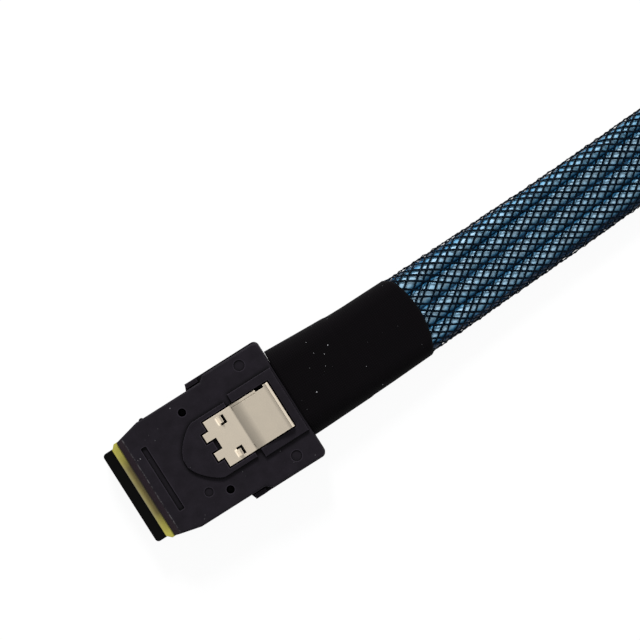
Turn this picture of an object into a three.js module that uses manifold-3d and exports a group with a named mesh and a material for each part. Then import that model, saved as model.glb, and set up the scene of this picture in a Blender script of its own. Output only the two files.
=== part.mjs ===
// Breakout cable for drives inside a computer: one wide thirty-six position plug with a
// press latch, a taped and sleeved trunk, and four flat legs with seven-way drive plugs.
// Millimetres. +X runs from the wide plug's nose towards its cable, +Y is the plug's left
// side seen from above, +Z is up. The origin lies under the middle of the wide plug.

import * as THREE from 'three';
import { mergeVertices } from 'three/addons/utils/BufferGeometryUtils.js';
import Module from 'manifold-3d';

const wasm = await Module();
wasm.setup();

// Clearance between pieces that sit in or against each other
const fit = 0.3;

// Clearance of what is wrapped round a cable
const wrapFit = 0.45;

// How far a cutting solid reaches past the face that it cuts, and a joined one into its base
const overcut = 1;

// Wide plug, stacked from its nose to its rear
const noseLength = 2.2;
const plateThickness = 1.55;
const shellLength = 33.35;

// Nose frame and the neck that the shells clamp
const noseWidth = 20;
const noseHeight = 5.6;
const noseCorner = 0.75;
const noseEdge = 0.2;
const neckWidth = 18.4;
const neckLength = 6.3;
const neckWall = 0.6;
const neckEndWall = 1.2;

// Yellow insulator plate round the neck
const plateWidth = 21.4;
const plateHeight = 6.4;
const plateChamfer = 0.9;

// Paddle card with its two rows of gold pads
const cardThickness = 1;
const cardSetback = 0.9;
const cardLength = 13.5;
const padCount = 18;
const padPitch = 0.8;
const padWidth = 0.5;
const padLength = 4.2;
const padHeight = 0.1;
const padSetback = 0.7;

// Moulded block behind the card, where the wires are soldered
const mouldWidth = 14.4;
const mouldCorner = 0.8;

// Two shells
const splitHeight = 4.7;
const shellHeight = 9;
const floorThickness = 1.2;
const cavityHeight = 5;
const frontWidth = 21.2;
const bodyWidth = 23.8;
const flareLength = 5.4;
const lowerRearWidth = 26.3;
const lowerShoulder = 16.6;
const earFront = 0.5;
const rearStep = 0.3;
const upperRearWidth = lowerRearWidth - 2 * rearStep;
const upperShoulder = 19.95;
const shoulderLength = 1.2;
const rearCorner = 1.1;
const edgeBevel = 0.35;
const noseBevelLength = 1.35;
const noseBevelDrop = 1.6;

// Ears of the lower shell, which stand up beside the upper shell
const earHeight = 6.3;

// Pin holes of the upper shell and the posts of the lower shell in them
const pinHole = 1.65;
const pinSpread = 8.8;
const pinStation = 13.95;
const postDepth = 1.9;

// Finger recess near the front edge, and the round marks of the mould's ejectors
const recessStation = 3.35;
const recessLength = 1.2;
const recessWidth = 14.2;
const recessDepth = 0.5;
const recessCorner = 0.3;
const markDepth = 0.22;
const upperMarks = [
  { station: 10.15, side: -7.0, radius: 0.9 },
  { station: 28.15, side: 10.6, radius: 1.1 },
  { station: 28.25, side: -10.1, radius: 1.1 },
];

// Stubs left by the mould's gates on the left flank
const stubRadius = 0.45;
const stubReach = 0.3;
const stubHeight = 7;
const stubStations = [6.3, 25.5];

// Stamped release latch and its hinge line
const latchThickness = 0.4;
const latchWidth = 10;
const latchStation = 14.95;
const tabLength = 1.4;
const tabWidth = 1.7;
const tabSpread = 4.15;
const latchPlateLength = 6.1;
const padRun = 8.1;
const padRise = 1.1;
const lipLength = 0.5;
const lipDrop = 0.9;
const flangeDepth = 1.2;
const flangeSetback = 0.9;
const flangeEnd = 1.2;
const notchDepth = 0.6;
const hookStation = 4.2;
const hookSpread = 6.95;
const hookWindow = 1.85;
const hookWindowLength = 1.3;
const hookWidth = 1.4;
const hookHeight = 0.9;
const hookRise = 0.8;
const hookRoot = 0.3;
const hookFoot = 0.1;
const creaseWidth = 0.15;
const creaseDepth = 0.12;
const creaseInset = 0.45;
const cornerNotch = 1.8;
const cornerNotchSetback = 0.6;
const gussetLength = 1.2;
const pressAngle = 4;

// Arrow-shaped boss, pocket, rails and bar of the upper shell round the latch
const bossTipStation = 9.25;
const bossTipWidth = 1.8;
const bossBulge = 1.35;
const bossSlant = 5.2;
const bossEndStation = 21.85;
const bossMargin = 0.9;
const bossEdge = 0.15;
const tabSlotMargin = 0.35;
const latchLedge = 0.35;
const railStation = 23.15;
const railWidth = 1.8;
const barLength = 1.6;

// Sleeved trunk, a flat bundle that leaves the plug flat and stands on its edge in the loop
const trunkWidth = 15.8;
const trunkThickness = 5.6;
const sleeveLength = 340;
const rollStart = 84.5;
const rollLength = 44;
const groundClearance = 0.1;

// Cloth tape round the trunk behind the plug
const tapeLength = 29.2;
const tapeWallNear = 1.1;
const tapeWallFar = 0.3;

// Band where the legs leave the sleeve
const bandLength = 16;
const bandWall = 0.8;

// Flat legs
const legWidth = 6.4;
const legThickness = 1.9;
const legStackGap = 0.4;
const legSpacing = 3.6;
const legTiedSpacing = 2.5;
const fanLength = 50;

// Where the legs spread, settle and rise, measured from the breakout or the strap
const spreadFrom = 10;
const spreadTo = 55;
const upperDrop = [38, 90];
const lowerDrop = [8, 50];
const gatherLength = 60;
const tieRise = 40;
const bandRise = 60;
const trunkSettle = 50;

// Stored loop: the trunk's half turn, the legs' half turn, and the strap that closes it
const loopX = 162;
const loopY = 4.6;
const trunkTurn = 64;
const legTurn = 60;
const closingStraight = 13;
const strapWidth = 12;
const strapThickness = 1.3;
const strapMargin = 4;

// Drive plugs, each with a grip moulded round the cable and an insulator in front
const gripLength = 12.5;
const gripWidth = 14.2;
const gripThickness = 5;
const bootWidth = 8.6;
const bootThickness = 3.6;
const bootLength = 4.5;
const gripBevel = 0.6;
const ribCount = 3;
const ribPitch = 2;
const ribLength = 10;
const ribWidth = 0.8;
const ribHeight = 0.3;
const insulatorLength = 9.2;
const insulatorWidth = 13.4;
const insulatorHeight = 4.9;
const insulatorBevel = 0.4;
const insulatorCorner = 0.5;
const tenonLength = 3.5;
const tenonWidth = 11;
const tenonHeight = 2.6;
const slotDepth = 6.5;
const slotWidth = 10.6;
const slotHeight = 1.5;
const keyWidth = 1.3;
const keyHeight = 2.7;
const contactCount = 7;
const contactPitch = 1.27;
const contactWidth = 0.7;
const contactLength = 5.5;
const contactHeight = 0.2;
const contactSink = 0.3;
const plugSpacing = 6.6;
const firstPlugOffset = -2.4;
const plugStagger = [-10, -3, 5, 14];

// Places that follow from the sizes above
const plugLength = noseLength + plateThickness + shellLength;
const noseX = -plugLength / 2;
const rearX = plugLength / 2;
const plateX = noseX + noseLength;
const shellX = plateX + plateThickness;
const cavityTop = floorThickness + cavityHeight;
const cardZ = floorThickness + cavityHeight / 2;
const cardX = noseX + cardSetback;
const cardEndX = cardX + cardLength;
const neckHeight = cavityHeight - 2 * fit;
const noseOpening = neckWidth - 2 * neckWall;
const cardWidth = noseOpening - 2 * fit;
const bossTop = shellHeight + latchThickness + fit;
const latchUnder = shellHeight + fit;
const latchX = shellX + latchStation;
const latchPlateX = latchX + tabLength;
const latchBendX = latchPlateX + latchPlateLength;
const latchPadEndX = latchBendX + padRun;
const latchEndX = latchPadEndX + lipLength;
const hingeX = latchX + tabLength / 2;
const pressDrop = (latchBendX - hingeX) * Math.sin(THREE.MathUtils.degToRad(pressAngle));
const pocketDepth = flangeDepth + pressDrop + fit / 2;
const pocketHalf = latchWidth / 2 + fit;
const pocketEndX = latchEndX + fit;
const bossHalf = pocketHalf + bossMargin;
const tieLift = wrapFit + strapThickness - groundClearance;
const bandLift = wrapFit + bandWall - groundClearance;
const trunkHalf = trunkWidth / 2;
const trunkHalfThin = trunkThickness / 2;
const closeOffset = 2 * (trunkTurn - legTurn);

const up = new THREE.Vector3(0, 0, 1);
const cable = new THREE.Group();

function blend(from, to, share) {
  return from + (to - from) * share;
}

function finish(color, roughness, metalness = 0) {
  return new THREE.MeshStandardMaterial({ color, roughness, metalness });
}

const finishes = {
  shell: finish(0x39373d, 0.6),
  nose: finish(0x0d0d0f, 0.3),
  plate: finish(0xb3ad42, 0.5),
  card: finish(0x1f5a33, 0.4),
  mould: finish(0x2a292b, 0.7),
  latch: finish(0xcbc6bb, 0.35, 0.9),
  tape: finish(0x1b1a1d, 0.9),
  sleeve: finish(0x1c4f78, 0.6),
  leg: finish(0x2b7cb0, 0.4),
  band: finish(0x151517, 0.6),
  strap: finish(0x161618, 0.9),
  grip: finish(0x1c1c1f, 0.55),
  insulator: finish(0x101012, 0.4),
};

function addMesh(parent, name, geometry, material) {
  const mesh = new THREE.Mesh(geometry, material);
  mesh.name = name;
  parent.add(mesh);
}

// Solids, and the booleans between them

function solid(geometry) {
  const bare = geometry.clone();
  bare.deleteAttribute('normal');
  bare.deleteAttribute('uv');
  const merged = mergeVertices(bare, 1e-5);
  return new wasm.Manifold(new wasm.Mesh({
    numProp: 3,
    vertProperties: merged.attributes.position.array,
    triVerts: Uint32Array.from(merged.index.array),
  }));
}

function geometryOf(body) {
  const mesh = body.getMesh();
  const geometry = new THREE.BufferGeometry();
  geometry.setAttribute('position', new THREE.BufferAttribute(mesh.vertProperties, 3));
  geometry.setIndex(new THREE.BufferAttribute(mesh.triVerts, 1));
  geometry.computeVertexNormals();
  return geometry;
}

function box(x0, x1, y0, y1, z0, z1) {
  const geometry = new THREE.BoxGeometry(x1 - x0, y1 - y0, z1 - z0);
  return solid(geometry.translate((x0 + x1) / 2, (y0 + y1) / 2, (z0 + z1) / 2));
}

// An upright round bar
function bar(x, y, radius, z0, z1, sides = 20) {
  const geometry = new THREE.CylinderGeometry(radius, radius, z1 - z0, sides);
  return solid(geometry.rotateX(Math.PI / 2).translate(x, y, (z0 + z1) / 2));
}

// A plan outline in X and Y raised from z0 to z1, its upper and lower edges bevelled
function raised(shape, z0, z1, bevel = 0) {
  const geometry = new THREE.ExtrudeGeometry(shape, {
    depth: z1 - z0 - 2 * bevel,
    bevelEnabled: bevel > 0,
    bevelThickness: bevel,
    bevelSize: bevel,
    bevelOffset: -bevel,
    bevelSegments: 2,
    curveSegments: 5,
  });
  return solid(geometry.translate(0, 0, z0 + bevel));
}

// A side outline in X and Z carried across from y0 to y1
function across(points, y0, y1) {
  const shape = new THREE.Shape(points.map(([x, z]) => new THREE.Vector2(x, z)));
  const geometry = new THREE.ExtrudeGeometry(shape, { depth: y1 - y0, bevelEnabled: false });
  return solid(geometry.rotateX(Math.PI / 2).translate(0, y1, 0));
}

// An end outline in Y and Z carried along from x0 to x1, its end edges bevelled
function along(shape, x0, x1, bevel = 0) {
  const geometry = new THREE.ExtrudeGeometry(shape, {
    depth: x1 - x0 - 2 * bevel,
    bevelEnabled: bevel > 0,
    bevelThickness: bevel,
    bevelSize: bevel,
    bevelOffset: -bevel,
    bevelSegments: 2,
    curveSegments: 4,
  });
  const turn = new THREE.Matrix4().makeBasis(
    new THREE.Vector3(0, 1, 0), new THREE.Vector3(0, 0, 1), new THREE.Vector3(1, 0, 0));
  return solid(geometry.applyMatrix4(turn).translate(x0 + bevel, 0, 0));
}

function outline(points) {
  return new THREE.Shape(points.map(([x, y]) => new THREE.Vector2(x, y)));
}

// An outline that is the same on both sides of the X axis, from its right-hand half
function mirrored(half) {
  const left = half.map(([x, y]) => [x, y]).reverse();
  return outline([...half.map(([x, y]) => [x, -y]), ...left]);
}

function roundedRectangle(width, height, radius, x = 0, y = 0) {
  const shape = new THREE.Shape();
  const w = width / 2 - radius;
  const h = height / 2 - radius;
  shape.absarc(x + w, y - h, radius, -Math.PI / 2, 0, false);
  shape.absarc(x + w, y + h, radius, 0, Math.PI / 2, false);
  shape.absarc(x - w, y + h, radius, Math.PI / 2, Math.PI, false);
  shape.absarc(x - w, y - h, radius, Math.PI, 1.5 * Math.PI, false);
  return shape;
}

// Wide plug

// Plan of a shell: narrow front edge, flare, parallel part, shoulder and rounded rear
function shellPlan(rearWidth, shoulder, shoulderRun) {
  const half = [
    [shellX, frontWidth / 2],
    [shellX + flareLength, bodyWidth / 2],
    [shellX + shoulder, bodyWidth / 2],
    [shellX + shoulder + shoulderRun, rearWidth / 2],
  ];
  const shape = new THREE.Shape();
  half.forEach(([x, y], i) => (i ? shape.lineTo(x, -y) : shape.moveTo(x, -y)));
  const cornerX = rearX - rearCorner;
  const cornerY = rearWidth / 2 - rearCorner;
  shape.absarc(cornerX, -cornerY, rearCorner, -Math.PI / 2, 0, false);
  shape.absarc(cornerX, cornerY, rearCorner, 0, Math.PI / 2, false);
  half.reverse().forEach(([x, y]) => shape.lineTo(x, y));
  return shape;
}

// Wedges that slope the front edge of the shells, above and below
function frontBevel(height, drop) {
  const outer = Math.sign(drop) * overcut;
  return across([
    [shellX - overcut, height + outer],
    [shellX - overcut, height - drop],
    [shellX, height - drop],
    [shellX + noseBevelLength, height],
    [shellX + noseBevelLength, height + outer],
  ], -plateWidth, plateWidth);
}

// Room inside the shells: wide for the nose's neck and card, narrower for the wires
function cavity() {
  const wide = neckWidth / 2 + fit;
  const narrow = mouldWidth / 2 + fit;
  const neck = box(shellX - overcut, cardEndX + fit, -wide, wide, floorThickness, cavityTop);
  const wires = box(cardEndX, rearX + overcut, -narrow, narrow, floorThickness, cavityTop);
  return neck.add(wires);
}

// Plan of the boss: an arrow with bulging sides
function bossPlan(endX) {
  const tip = shellX + bossTipStation;
  const steps = 8;
  const half = [];
  for (let i = 0; i <= steps; i += 1) {
    const bulge = (1 - (1 - i / steps) ** bossBulge) ** (1 / bossBulge);
    half.push([tip + bossSlant * i / steps, blend(bossTipWidth / 2, bossHalf, bulge)]);
  }
  return mirrored([...half, [endX, bossHalf]]);
}

// Hollow under the latch, with a slot for each of its front tabs
function latchPocket() {
  const top = bossTop + overcut;
  const ledgeX = latchPlateX + latchLedge;
  const side = tabSpread / 2;
  const slotHalf = tabWidth / 2 + tabSlotMargin;
  const floor = shellHeight - pocketDepth;
  let pocket = across([
    [latchPlateX - fit, shellHeight],
    [ledgeX, shellHeight],
    [ledgeX, floor],
    [pocketEndX, floor],
    [pocketEndX, top],
    [latchPlateX - fit, top],
  ], -pocketHalf, pocketHalf);
  for (const y of [-side, side]) {
    pocket = pocket.add(
      box(latchX - tabSlotMargin, ledgeX, y - slotHalf, y + slotHalf, shellHeight, top));
  }
  return pocket;
}

function upperShell() {
  const plan = shellPlan(upperRearWidth, upperShoulder, shoulderLength);
  let shell = raised(plan, splitHeight - overcut, shellHeight, edgeBevel);
  shell = shell.subtract(box(noseX, rearX + overcut, -plateWidth, plateWidth,
    splitHeight - 2 * overcut, splitHeight));
  shell = shell.subtract(frontBevel(shellHeight, noseBevelDrop));
  shell = shell.add(
    raised(bossPlan(shellX + bossEndStation), shellHeight - overcut, bossTop, bossEdge));
  const railHalf = pocketHalf + railWidth;
  shell = shell.add(raised(outline([
    [shellX + railStation, -railHalf],
    [pocketEndX + barLength, -railHalf],
    [pocketEndX + barLength, railHalf],
    [shellX + railStation, railHalf],
  ]), shellHeight - overcut, bossTop, bossEdge));
  shell = shell.subtract(latchPocket()).subtract(cavity());
  for (const y of [-pinSpread, pinSpread]) {
    shell = shell.subtract(
      bar(shellX + pinStation, y, pinHole / 2, splitHeight - overcut, bossTop));
  }
  const recessX = shellX + recessStation;
  shell = shell.subtract(raised(
    roundedRectangle(recessLength, recessWidth, recessCorner, recessX + recessLength / 2, 0),
    shellHeight - recessDepth, bossTop));
  for (const mark of upperMarks) {
    shell = shell.subtract(bar(shellX + mark.station, mark.side, mark.radius,
      shellHeight - markDepth, bossTop, 16));
  }
  for (const station of stubStations) {
    const flank = station > upperShoulder ? upperRearWidth / 2 : bodyWidth / 2;
    shell = shell.add(bar(shellX + station, flank + stubReach - stubRadius, stubRadius,
      splitHeight, stubHeight, 12));
  }
  return shell;
}

function lowerShell() {
  const plan = shellPlan(lowerRearWidth, lowerShoulder, earFront);
  let shell = raised(plan, 0, splitHeight + overcut, edgeBevel);
  shell = shell.subtract(box(noseX, rearX + overcut, -plateWidth, plateWidth,
    splitHeight, splitHeight + 2 * overcut));
  shell = shell.subtract(frontBevel(0, -noseBevelDrop / 2)).subtract(cavity());
  const earX = shellX + lowerShoulder + earFront;
  const earInner = bodyWidth / 2 + fit;
  const earHalf = (lowerRearWidth / 2 - earInner) / 2;
  for (const side of [-1, 1]) {
    const y = side * (earInner + earHalf);
    shell = shell.add(box(earX, shellX + upperShoulder - fit, y - earHalf, y + earHalf,
      splitHeight - overcut, earHeight));
    shell = shell.add(bar(shellX + pinStation, side * pinSpread, pinHole / 2 - fit,
      splitHeight - overcut, shellHeight - postDepth));
  }
  return shell;
}

// Black frame with a neck behind it; the card passes through a slot in the neck's end wall
function noseShroud() {
  const neckEndX = plateX + neckLength;
  const plan = roundedRectangle(noseLength * 2, noseWidth, noseCorner, plateX, 0);
  let nose = raised(plan, cardZ - noseHeight / 2, cardZ + noseHeight / 2, noseEdge)
    .subtract(box(plateX, rearX, -noseWidth, noseWidth, 0, shellHeight));
  nose = nose.add(box(plateX - overcut, neckEndX, -neckWidth / 2, neckWidth / 2,
    cardZ - neckHeight / 2, cardZ + neckHeight / 2));
  const opening = neckHeight / 2 - neckWall;
  nose = nose.subtract(box(noseX - overcut, neckEndX - neckEndWall, -noseOpening / 2,
    noseOpening / 2, cardZ - opening, cardZ + opening));
  const slot = cardThickness / 2 + fit;
  return nose.subtract(box(noseX, neckEndX + overcut, -noseOpening / 2, noseOpening / 2,
    cardZ - slot, cardZ + slot));
}

function insulatorPlate() {
  const half = plateWidth / 2;
  const plan = mirrored([
    [plateX, half - plateChamfer],
    [plateX + plateChamfer, half],
    [plateX + plateThickness, half],
  ]);
  const hole = neckWidth / 2 + fit;
  const rise = neckHeight / 2 + fit;
  return raised(plan, cardZ - plateHeight / 2, cardZ + plateHeight / 2)
    .subtract(box(plateX - overcut, shellX + overcut, -hole, hole, cardZ - rise,
      cardZ + rise));
}

function paddleCard() {
  let card = box(cardX, cardEndX, -cardWidth / 2, cardWidth / 2,
    cardZ - cardThickness / 2, cardZ + cardThickness / 2);
  const reach = cardThickness / 2 + padHeight;
  for (let i = 0; i < padCount; i += 1) {
    const y = (i - (padCount - 1) / 2) * padPitch;
    const x = cardX + padSetback;
    card = card.add(box(x, x + padLength, y - padWidth / 2, y + padWidth / 2,
      cardZ - reach, cardZ + reach));
  }
  return card;
}

function wireMould() {
  const section = roundedRectangle(mouldWidth, neckHeight, mouldCorner, 0, cardZ);
  return along(section, cardEndX, rearX);
}

// Side outline of the latch sheet: flat plate, rising thumb pad and turned-down lip
function latchSide() {
  const top = latchUnder + latchThickness;
  const padUnder = latchUnder + padRise;
  return [
    [latchX, latchUnder],
    [latchBendX, latchUnder],
    [latchPadEndX, padUnder],
    [latchEndX - latchThickness, padUnder - lipDrop],
    [latchEndX, padUnder - lipDrop],
    [latchEndX, padUnder + latchThickness / 2],
    [latchPadEndX, top + padRise],
    [latchBendX, top],
    [latchX, top],
  ];
}

// Side outline of the flanges turned down along the plate and the pad
function flangeSide() {
  const middle = latchUnder + latchThickness / 2;
  const bottom = latchUnder - flangeDepth;
  const share = 1 - flangeEnd / padRun;
  return [
    [latchPlateX + flangeSetback, bottom],
    [latchBendX, bottom],
    [latchPadEndX - flangeEnd, bottom + padRise * share],
    [latchPadEndX - flangeEnd, middle + padRise * share],
    [latchBendX, middle],
    [latchPlateX + flangeSetback, middle],
  ];
}

// A shallow cut along the top of the latch's thumb pad, parallel to it
function padCrease(fromX, toX, y0, y1) {
  const top = latchUnder + latchThickness - creaseDepth;
  const rise = (x) => padRise * (x - latchBendX) / padRun;
  return across([
    [fromX, top + rise(fromX)],
    [toX, top + rise(toX)],
    [toX, top + rise(toX) + overcut],
    [fromX, top + rise(fromX) + overcut],
  ], y0, y1);
}

function releaseLatch() {
  const half = latchWidth / 2;
  const top = latchUnder + latchThickness;
  let latch = across(latchSide(), -half, half);
  for (const y of [-half, half - latchThickness]) {
    latch = latch.add(across(flangeSide(), y, y + latchThickness));
  }
  // Openings beside and between the front tabs
  const inner = tabSpread / 2 - tabWidth / 2;
  const outer = tabSpread / 2 + tabWidth / 2;
  latch = latch.subtract(
    box(latchX - overcut, latchPlateX + notchDepth, -inner, inner, 0, top + overcut));
  for (const side of [-1, 1]) {
    const [y0, y1] = [side * outer, side * (half + overcut)].sort((a, b) => a - b);
    latch = latch.subtract(box(latchX - overcut, latchPlateX, y0, y1, 0, top + overcut));
  }
  // Creases of the pad: across its end, along its left edge, and short ones at the bend
  const notchEndX = latchPadEndX - cornerNotchSetback;
  const notchX = notchEndX - cornerNotch;
  const inset = half - creaseInset;
  latch = latch.subtract(
    padCrease(latchPadEndX - creaseWidth, latchPadEndX, -half - overcut, half + overcut));
  latch = latch.subtract(padCrease(
    latchBendX + creaseWidth, notchX - creaseWidth, inset - creaseWidth, inset));
  for (const side of [-1, 1]) {
    const [y0, y1] = [side * (half - gussetLength), side * inset].sort((a, b) => a - b);
    latch = latch.subtract(padCrease(latchBendX, latchBendX + creaseWidth, y0, y1));
  }
  latch = latch.subtract(box(notchX, notchEndX, inset, half + overcut, 0, bossTop + padRise));
  // Hook teeth punched up from their windows
  const toothX = latchX + hookStation;
  const windowEndX = toothX + hookWindowLength;
  for (const side of [-1, 1]) {
    const middle = side * hookSpread / 2;
    latch = latch.subtract(box(toothX, windowEndX, middle - hookWindow / 2,
      middle + hookWindow / 2, 0, top + overcut));
    const toothY = middle + side * (hookWindow - hookWidth) / 2;
    latch = latch.add(across([
      [toothX - hookRoot, latchUnder],
      [toothX + hookFoot, latchUnder],
      [toothX + hookRise, top + hookHeight - latchThickness],
      [toothX + hookRise, top + hookHeight],
      [toothX - hookRoot, top],
    ], toothY - hookWidth / 2, toothY + hookWidth / 2));
  }
  return latch;
}

const widePlug = new THREE.Group();
addMesh(widePlug, 'upper_shell', geometryOf(upperShell()), finishes.shell);
addMesh(widePlug, 'lower_shell', geometryOf(lowerShell()), finishes.shell);
addMesh(widePlug, 'nose_shroud', geometryOf(noseShroud()), finishes.nose);
addMesh(widePlug, 'insulator_plate', geometryOf(insulatorPlate()), finishes.plate);
addMesh(widePlug, 'paddle_card', geometryOf(paddleCard()), finishes.card);
addMesh(widePlug, 'wire_mould', geometryOf(wireMould()), finishes.mould);
addMesh(widePlug, 'release_latch', geometryOf(releaseLatch()), finishes.latch);
cable.add(widePlug);

// Cable routes

// A line through points that rolls a flat section about itself and may scale it
class FlatCablePath extends THREE.CatmullRomCurve3 {
  constructor(points, rollAt, scaleAt = () => 1) {
    super(points, false, 'centripetal');
    this.arcLengthDivisions = 600;
    this.rollAt = rollAt;
    this.scaleAt = scaleAt;
  }

  computeFrenetFrames(steps) {
    const frames = { tangents: [], normals: [], binormals: [] };
    const length = this.getLength();
    for (let i = 0; i <= steps; i += 1) {
      const share = i / steps;
      const tangent = this.getTangentAt(share);
      const roll = this.rollAt(share * length);
      const side = new THREE.Vector3().crossVectors(up, tangent).normalize();
      const face = new THREE.Vector3().crossVectors(tangent, side);
      frames.tangents.push(tangent);
      frames.normals.push(side.applyAxisAngle(tangent, roll).multiplyScalar(this.scaleAt(share)));
      frames.binormals.push(face.applyAxisAngle(tangent, roll).multiplyScalar(this.scaleAt(share)));
    }
    return frames;
  }
}

function swept(shape, path, step) {
  const steps = Math.max(1, Math.round(path.getLength() / step));
  return new THREE.ExtrudeGeometry(shape, { steps, extrudePath: path, curveSegments: 2 });
}

function smooth(value, start, end) {
  return THREE.MathUtils.smoothstep(value, start, end);
}

// Guide line of the stored loop, measured from the loop's start: it turns to the right
const turns = [
  { length: Math.PI * trunkTurn, radius: trunkTurn },
  { length: closingStraight, radius: Infinity },
  { length: Math.PI * legTurn, radius: legTurn },
  { length: closingStraight, radius: Infinity },
  { length: Infinity, radius: trunkTurn - closeOffset },
];

function guideAt(distance) {
  let x = loopX;
  let y = loopY;
  let heading = 0;
  let left = distance;
  for (const turn of turns) {
    const run = Math.min(left, turn.length);
    if (turn.radius === Infinity) {
      x += run * Math.cos(heading);
      y += run * Math.sin(heading);
    } else {
      const centreX = x + turn.radius * Math.sin(heading);
      const centreY = y - turn.radius * Math.cos(heading);
      heading -= run / turn.radius;
      x = centreX - turn.radius * Math.sin(heading);
      y = centreY + turn.radius * Math.cos(heading);
    }
    left -= run;
    if (left <= 0) break;
  }
  return { x, y, heading };
}

const tieStart = turns[0].length + closingStraight + turns[2].length;
const tieFull = tieStart - strapMargin;
const fanStart = tieStart + closingStraight + strapMargin;
const breakout = sleeveLength - (loopX - rearX);

function rollAt(distance) {
  return smooth(distance, rollStart, rollStart + rollLength) * Math.PI / 2;
}

// Height of the trunk's middle where it rests on the surface at a given roll
function restingHeight(roll) {
  return groundClearance + trunkHalfThin + (trunkHalf - trunkHalfThin) * Math.sin(roll);
}

// Trunk from the plug to the loop: distance from the plug, side drift and lift
const trunkStretch = [
  [0.4, 0.72, 1.5],
  [4, 0.68, 1.5],
  [9, 0.64, 1.47],
  [16, 0.68, 1.4],
  [24, 0.88, 1.3],
  [32, 1.12, 1.1],
  [40, 1.38, 0.74],
  [48, 1.62, 0.42],
  [57, 1.9, 0.15],
  [66, 2.25, 0.03],
  [75, 2.7, 0],
  [84, 3.15, 0],
  [93, 3.6, 0],
  [102, 3.98, 0.15],
  [111, 4.28, 0.55],
  [120, 4.48, 1.1],
  [129, 4.58, 1.55],
  [137, 4.6, 1.65],
];

function trunkPoints() {
  const points = trunkStretch.map(([distance, drift, lift]) => {
    const z = restingHeight(rollAt(distance)) + lift;
    return new THREE.Vector3(rearX + distance, drift, z);
  });
  const steps = 20;
  for (let i = 0; i <= steps; i += 1) {
    const distance = breakout * i / steps;
    points.push(loopPlace(distance));
  }
  return points;
}

// The trunk's middle in the loop, on its edge, at a distance from the loop's start
function loopPlace(distance) {
  const { x, y } = guideAt(distance);
  const lift = tieLift * (1 - smooth(distance, 0, trunkSettle))
    + bandLift * smooth(distance, breakout - bandRise, breakout - bandLength / 2);
  return new THREE.Vector3(x, y, restingHeight(Math.PI / 2) + lift);
}

// A flat section with round sides
function flatSection(width, thickness) {
  const radius = thickness / 2;
  const middle = width / 2 - radius;
  const shape = new THREE.Shape();
  shape.absarc(middle, 0, radius, -Math.PI / 2, Math.PI / 2, false);
  shape.absarc(-middle, 0, radius, Math.PI / 2, 1.5 * Math.PI, false);
  return shape;
}

// Trunk and the tape and band on it
const trunkPath = new FlatCablePath(trunkPoints(), rollAt);
const trunkSection = flatSection(trunkWidth, trunkThickness);
addMesh(cable, 'trunk_sleeve', swept(trunkSection, trunkPath, 9), finishes.sleeve);

// A solid along part of the trunk, as far outside its surface as the margin says at
// each end, and longer at both ends by the overhang
function alongTrunk(points, roll, margins, overhang = 0) {
  const line = [...points];
  if (overhang > 0) {
    const last = points.length - 1;
    const before = points[0].clone().sub(points[1]).setLength(overhang).add(points[0]);
    const after = points[last].clone().sub(points[last - 1]).setLength(overhang);
    line.unshift(before);
    line.push(after.add(points[last]));
  }
  const [near, far] = margins;
  const section = flatSection(trunkWidth + 2 * near, trunkThickness + 2 * near);
  const taper = (trunkWidth + 2 * far) / (trunkWidth + 2 * near);
  const path = new FlatCablePath(line, () => roll, (share) => 1 + (taper - 1) * share);
  return solid(swept(section, path, 5));
}

function sleeveRound(points, roll, wallNear, wallFar) {
  return geometryOf(alongTrunk(points, roll, [wrapFit + wallNear, wrapFit + wallFar])
    .subtract(alongTrunk(points, roll, [wrapFit, wrapFit], 2)));
}

function pointsBetween(placeAt, from, to) {
  const steps = 6;
  return Array.from({ length: steps + 1 }, (_, i) => placeAt(from + (to - from) * i / steps));
}

const tapePoints = pointsBetween(
  (distance) => trunkPath.getPointAt(distance / trunkPath.getLength()), 0, tapeLength);
const bandPoints = pointsBetween(
  loopPlace, breakout - bandLength / 2, breakout + bandLength / 2);
addMesh(cable, 'tape_wrap', sleeveRound(tapePoints, 0, tapeWallNear, tapeWallFar),
  finishes.tape);
addMesh(cable, 'breakout_band', sleeveRound(bandPoints, Math.PI / 2, bandWall, bandWall),
  finishes.band);

// Legs

const legFansFrom = [0.5, 0.5, -0.5, -0.5];
const legStacks = [1, -1, -1, 1];
const legOrder = [1.5, 0.5, -0.5, -1.5];
const gripZ = gripWidth / 2;
const legRestZ = groundClearance + legWidth / 2;

// Sideways place of a leg, outwards from the guide line, at a distance from the loop's start
function legSide(leg, distance) {
  const stacked = legFansFrom[leg] * (legThickness + legStackGap);
  const loose = legOrder[leg] * legSpacing;
  const tied = legOrder[leg] * legTiedSpacing;
  const plug = firstPlugOffset - leg * plugSpacing;
  const spread = smooth(distance, breakout + spreadFrom, breakout + spreadTo);
  const gathered = smooth(distance, tieFull - gatherLength, tieFull);
  const closing = blend(blend(stacked, loose, spread), tied, gathered);
  return blend(closing, plug, smooth(distance, fanStart, fanStart + fanLength));
}

function legHeight(leg, distance) {
  const bandZ = restingHeight(Math.PI / 2) + bandLift;
  const stacked = bandZ + legStacks[leg] * (legWidth + legStackGap) / 2;
  const [dropFrom, dropTo] = legStacks[leg] > 0 ? upperDrop : lowerDrop;
  const rest = blend(stacked, legRestZ, smooth(distance, breakout + dropFrom, breakout + dropTo));
  const tied = blend(rest, legRestZ + tieLift, smooth(distance, tieFull - tieRise, tieFull));
  return blend(tied, gripZ, smooth(distance, fanStart, fanStart + fanLength + plugStagger[0]));
}

function legPlace(leg, distance) {
  const { x, y, heading } = guideAt(distance);
  const side = legSide(leg, distance);
  return new THREE.Vector3(
    x - side * Math.sin(heading), y + side * Math.cos(heading), legHeight(leg, distance));
}

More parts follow.
